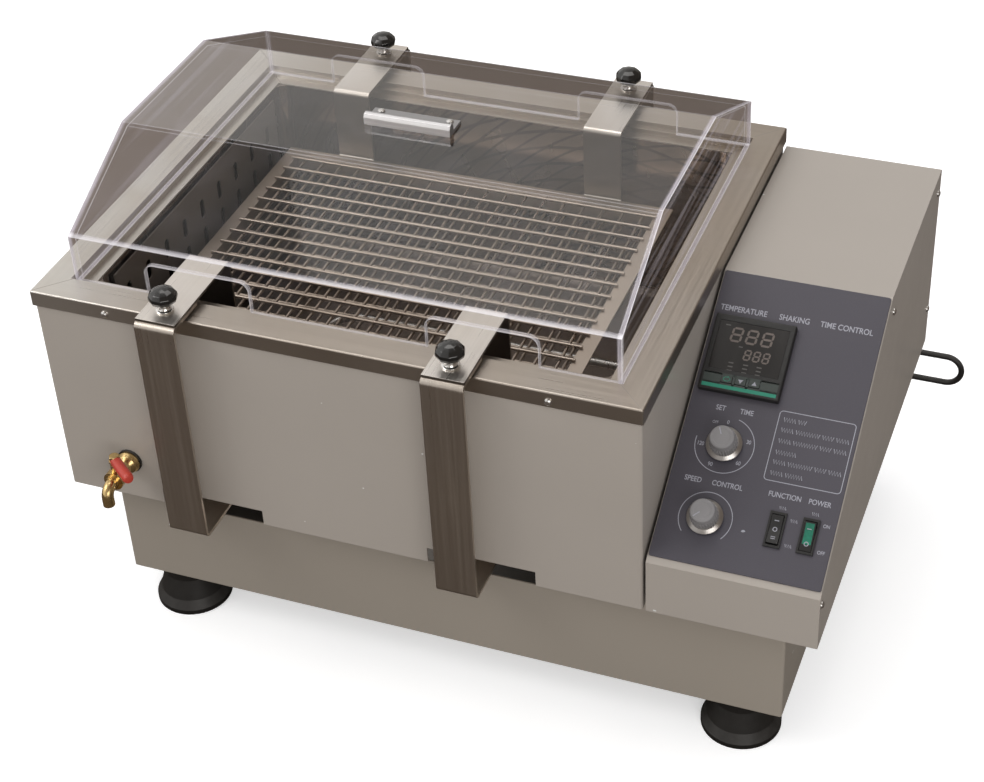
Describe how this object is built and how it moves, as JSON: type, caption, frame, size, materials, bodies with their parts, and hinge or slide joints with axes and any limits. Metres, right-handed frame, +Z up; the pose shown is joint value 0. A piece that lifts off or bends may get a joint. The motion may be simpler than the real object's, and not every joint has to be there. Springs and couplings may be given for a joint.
{
  "type": "shaking water bath",
  "caption": "Bench water bath with a clear folded lid, a wire tray shaken on outside arms, a drain tap and a sloping control panel.",
  "frame": {"origin": "on the bench, under the middle of the front left foot", "axes": "+X right along the front, +Y from front to back, +Z up"},
  "size_m": [0.7594, 0.5492, 0.4911],
  "materials": {
    "painted_light": "satin",
    "painted_grey": "satin",
    "stainless": "brushed",
    "stainless_dark": "brushed",
    "steel": "satin",
    "aluminium": "polished",
    "brass": "polished",
    "rubber_black": "matte",
    "red_grip": "satin",
    "black_gloss": "gloss",
    "black_plastic": "satin",
    "insulation": "matte",
    "acrylic": "clear gloss",
    "panel_slate": "satin",
    "dark_window": "gloss",
    "key_grey": "satin",
    "green_rocker": "gloss",
    "board_green": "satin"
  },
  "bodies": {
    "housing": {"base_housing": "painted_light", "bottom_plate": "painted_grey", "feet": "rubber_black", "tank_casing": "painted_light", "rim_frame": "stainless", "inner_tank": "stainless_dark", "tank_insulation": "insulation", "slotted_baffle": "stainless_dark", "heater_element": "stainless_dark", "temperature_probe": "stainless_dark", "drain_pipe": "stainless_dark", "tap_gasket": "rubber_black", "tap_body": "brass", "crank_housing": "painted_grey", "motor": "painted_grey", "idler_housings": "painted_grey", "drive_belt": "rubber_black", "control_box_shell": "painted_light", "control_panel": "panel_slate", "controller_case": "black_plastic", "controller_window": "dark_window", "timer_mechanism": "steel", "speed_control": "steel", "function_switch_body": "black_plastic", "power_switch_body": "black_plastic", "driver_board": "board_green", "cord_gland": "black_plastic", "power_cord": "rubber_black", "case_screws": "steel"},
    "carriage": {"shaking_frame": "aluminium", "left_arm": "stainless", "right_arm": "stainless", "front_left_hanger": "stainless", "rear_left_hanger": "stainless", "front_right_hanger": "stainless", "rear_right_hanger": "stainless", "tray_frame": "stainless", "upper_grid": "stainless", "lower_grid": "stainless"},
    "crank": {"crank_shaft": "steel", "crank_pulley": "aluminium", "crank_arm": "steel"},
    "front_idler": {"idler_crank_front": "steel"},
    "rear_idler": {"idler_crank_rear": "steel"},
    "motor_rotor": {"motor_pulley": "aluminium"},
    "lid": {"lid_shell": "acrylic", "lid_handle": "aluminium", "lid_screws": "steel"},
    "set_key": {"key_set": "key_grey"},
    "down_key": {"key_down": "key_grey"},
    "up_key": {"key_up": "key_grey"},
    "timer_dial": {"timer_knob": "aluminium"},
    "speed_dial": {"speed_knob": "aluminium"},
    "function_switch_rocker": {"function_rocker": "black_plastic"},
    "power_switch_rocker": {"power_rocker": "green_rocker"},
    "drain_lever": {"tap_lever": "red_grip"},
    "front_left_clamp": {"front_left_knob": "black_gloss"},
    "rear_left_clamp": {"rear_left_knob": "black_gloss"},
    "front_right_clamp": {"front_right_knob": "black_gloss"},
    "rear_right_clamp": {"rear_right_knob": "black_gloss"}
  },
  "joints": [
    {"name": "crank_spin", "type": "hinge", "parent": "housing", "child": "crank", "pos_m": [0.2835, 0.174, 0.12], "axis": [0, 0, 1], "continuous": true},
    {"name": "carriage_pivot", "type": "hinge", "parent": "crank", "child": "carriage", "pos_m": [0.2692, 0.1812, 0.16], "axis": [0, 0, 1], "continuous": true},
    {"name": "motor_spin", "type": "hinge", "parent": "housing", "child": "motor_rotor", "pos_m": [0.441, 0.174, 0.12], "axis": [0, 0, 1], "continuous": true},
    {"name": "front_idler_spin", "type": "hinge", "parent": "housing", "child": "front_idler", "pos_m": [0.1135, 0.069, 0.09], "axis": [0, 0, 1], "continuous": true},
    {"name": "rear_idler_spin", "type": "hinge", "parent": "housing", "child": "rear_idler", "pos_m": [0.1135, 0.279, 0.09], "axis": [0, 0, 1], "continuous": true},
    {"name": "lid_lift", "type": "slide", "parent": "housing", "child": "lid", "axis": [0, 0, 1], "range_m": [0, 0.25]},
    {"name": "timer_turn", "type": "hinge", "parent": "housing", "child": "timer_dial", "pos_m": [0.5273, 0.0422, 0.28315], "axis": [0, 0.5177, -0.8555], "range_deg": [0, 300]},
    {"name": "speed_turn", "type": "hinge", "parent": "housing", "child": "speed_dial", "pos_m": [0.5273, -0.01512, 0.24846], "axis": [0, 0.5177, -0.8555], "range_deg": [0, 270]},
    {"name": "function_rock", "type": "hinge", "parent": "housing", "child": "function_switch_rocker", "pos_m": [0.5874, -0.0129, 0.24864], "axis": [1, 0, 0], "range_deg": [-8, 8]},
    {"name": "power_rock", "type": "hinge", "parent": "housing", "child": "power_switch_rocker", "pos_m": [0.6156, -0.0129, 0.24864], "axis": [1, 0, 0], "range_deg": [-16, 0]},
    {"name": "set_key_press", "type": "slide", "parent": "housing", "child": "set_key", "axis": [0, 0.5177, -0.8555], "range_m": [0, 0.0008]},
    {"name": "down_key_press", "type": "slide", "parent": "housing", "child": "down_key", "axis": [0, 0.5177, -0.8555], "range_m": [0, 0.0008]},
    {"name": "up_key_press", "type": "slide", "parent": "housing", "child": "up_key", "axis": [0, 0.5177, -0.8555], "range_m": [0, 0.0008]},
    {"name": "drain_lever_turn", "type": "hinge", "parent": "housing", "child": "drain_lever", "pos_m": [-0.0084, -0.079, 0.226], "axis": [0, 0, 1], "range_deg": [-45, 45]},
    {"name": "front_left_clamp_turn", "type": "hinge", "parent": "carriage", "child": "front_left_clamp", "pos_m": [0.0572, -0.0568, 0.392], "axis": [0, 0, 1], "range_deg": [-90, 270]},
    {"name": "front_right_clamp_turn", "type": "hinge", "parent": "carriage", "child": "front_right_clamp", "pos_m": [0.3212, -0.0568, 0.392], "axis": [0, 0, 1], "range_deg": [-90, 270]},
    {"name": "rear_left_clamp_turn", "type": "hinge", "parent": "carriage", "child": "rear_left_clamp", "pos_m": [0.0572, 0.4192, 0.392], "axis": [0, 0, 1], "range_deg": [-90, 270]},
    {"name": "rear_right_clamp_turn", "type": "hinge", "parent": "carriage", "child": "rear_right_clamp", "pos_m": [0.3212, 0.4192, 0.392], "axis": [0, 0, 1], "range_deg": [-90, 270]}
  ],
  "couplings": [
    {"joint": "carriage_pivot", "follows": "crank_spin", "ratio": -1},
    {"joint": "motor_spin", "follows": "crank_spin", "ratio": 3},
    {"joint": "front_idler_spin", "follows": "crank_spin", "ratio": 1},
    {"joint": "rear_idler_spin", "follows": "crank_spin", "ratio": 1}
  ]
}
